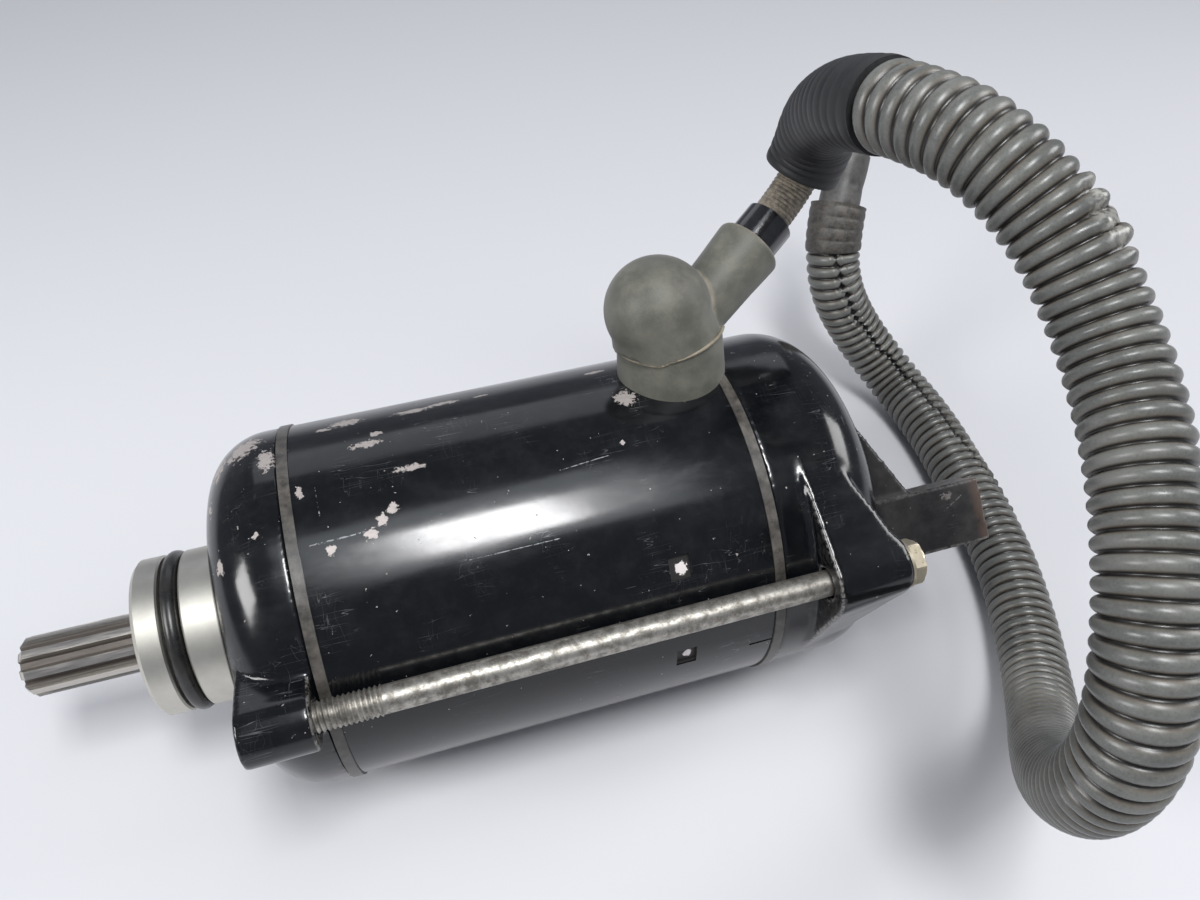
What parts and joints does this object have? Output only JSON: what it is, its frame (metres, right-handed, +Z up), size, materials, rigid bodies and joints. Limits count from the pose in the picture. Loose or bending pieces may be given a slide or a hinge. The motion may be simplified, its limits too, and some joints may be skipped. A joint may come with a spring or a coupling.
{
  "type": "motorcycle starter motor with cable",
  "caption": "Brushed DC starter motor with a toothed shaft, sealed nose pilot, outside through-bolts, rear mounting arm and a booted cable in split conduit.",
  "frame": {"origin": "on the shaft axis at the shoulder behind the nose pilot, where the front cover meets the engine case", "axes": "+X along the shaft from the toothed end to the rear cover, +Z up with the motor lying on a bench, +Y to the side the terminal leans to"},
  "size_m": [0.2049, 0.1682, 0.1225],
  "materials": {
    "black_paint": "gloss black enamel, chipped and scratched",
    "plain_steel": "ground steel",
    "weathered_zinc": "dull zinc plate with rust specks",
    "laminated_steel": "stacked sheet steel, oxide grey",
    "copper": "copper, satin",
    "enamelled_copper": "varnished copper wire",
    "tinned_copper": "tin plate, satin",
    "sintered_bronze": "oily sintered bronze",
    "ferrite": "pressed ferrite, matt",
    "carbon": "pressed carbon and copper, matt",
    "seal_rubber": "smooth black rubber",
    "aged_rubber": "weathered grey-brown rubber",
    "boot_rubber": "matt olive-grey rubber with pale rubbed edges",
    "dark_sleeve": "gloss black heat-shrink sleeve",
    "cable_jacket": "smooth black cable jacket",
    "woven_wrap": "ribbed brown-grey woven wrap",
    "conduit_plastic": "ribbed grey-black split conduit with dust in the grooves",
    "tape": "matt black wrapping tape",
    "grey_sleeve": "dark grey rubber sleeve",
    "moulded_insulation": "brown phenolic",
    "spring_steel": "bright spring wire"
  },
  "bodies": {
    "housing": {"front_cover": "black_paint", "rear_cover": "black_paint", "yoke_tube": "black_paint", "nose_o_ring": "seal_rubber", "front_joint_seal": "aged_rubber", "rear_joint_seal": "aged_rubber", "through_bolts": "weathered_zinc", "bearing_outer_ring": "plain_steel", "shaft_seal": "seal_rubber", "bearing_circlip": "spring_steel", "steel_thrust_washer": "spring_steel", "fibre_thrust_washer": "moulded_insulation", "rear_bush": "sintered_bronze", "field_magnets": "ferrite", "magnet_clips": "spring_steel", "brush_plate": "weathered_zinc", "brush_boxes": "weathered_zinc", "brush_spring_1": "spring_steel", "brush_spring_2": "spring_steel", "brush_spring_3": "spring_steel", "brush_spring_4": "spring_steel", "terminal_strap": "copper", "terminal_stud": "weathered_zinc", "inner_insulator": "moulded_insulation", "terminal_o_ring": "seal_rubber", "outer_insulator": "moulded_insulation", "terminal_washer": "weathered_zinc", "terminal_nuts": "weathered_zinc", "spring_washer": "spring_steel", "terminal_boot": "boot_rubber", "terminal_lug": "tinned_copper", "boot_collar": "dark_sleeve", "cable": "cable_jacket", "fibre_wrap": "woven_wrap", "conduit": "conduit_plastic", "conduit_tape": "tape", "far_sleeve": "grey_sleeve", "far_lug": "tinned_copper"},
    "armature": {"armature_shaft": "plain_steel", "bearing_inner_ring": "plain_steel", "armature_core": "laminated_steel", "armature_windings": "enamelled_copper", "commutator_segments": "copper", "commutator_hub": "moulded_insulation"},
    "ball_cage": {"bearing_cage": "plain_steel", "bearing_balls": "plain_steel"},
    "brush_1": {"brush_1": "carbon"},
    "brush_2": {"brush_2": "carbon"},
    "brush_3": {"brush_3": "carbon"},
    "brush_4": {"brush_4": "carbon"}
  },
  "joints": [
    {"name": "armature_spin", "type": "hinge", "parent": "housing", "child": "armature", "pos_m": [0, 0, 0], "axis": [1, 0, 0], "continuous": true},
    {"name": "cage_spin", "type": "hinge", "parent": "housing", "child": "ball_cage", "pos_m": [0.006, 0, 0], "axis": [1, 0, 0], "continuous": true},
    {"name": "brush_1_slide", "type": "slide", "parent": "housing", "child": "brush_1", "axis": [0, 0.8788, 0.4772], "range_m": [0, 0.0026], "stiffness_N_per_m": 500, "springref_m": -0.008, "deforming": ["brush_spring_1"]},
    {"name": "brush_2_slide", "type": "slide", "parent": "housing", "child": "brush_2", "axis": [0, 0.4772, -0.8788], "range_m": [0, 0.0026], "stiffness_N_per_m": 500, "springref_m": -0.008, "deforming": ["brush_spring_2"]},
    {"name": "brush_3_slide", "type": "slide", "parent": "housing", "child": "brush_3", "axis": [0, -0.8788, -0.4772], "range_m": [0, 0.0026], "stiffness_N_per_m": 500, "springref_m": -0.008, "deforming": ["brush_spring_3"]},
    {"name": "brush_4_slide", "type": "slide", "parent": "housing", "child": "brush_4", "axis": [0, -0.4772, 0.8788], "range_m": [0, 0.0026], "stiffness_N_per_m": 500, "springref_m": -0.008, "deforming": ["brush_spring_4"]}
  ],
  "couplings": [
    {"joint": "cage_spin", "follows": "armature_spin", "ratio": 0.3825}
  ]
}
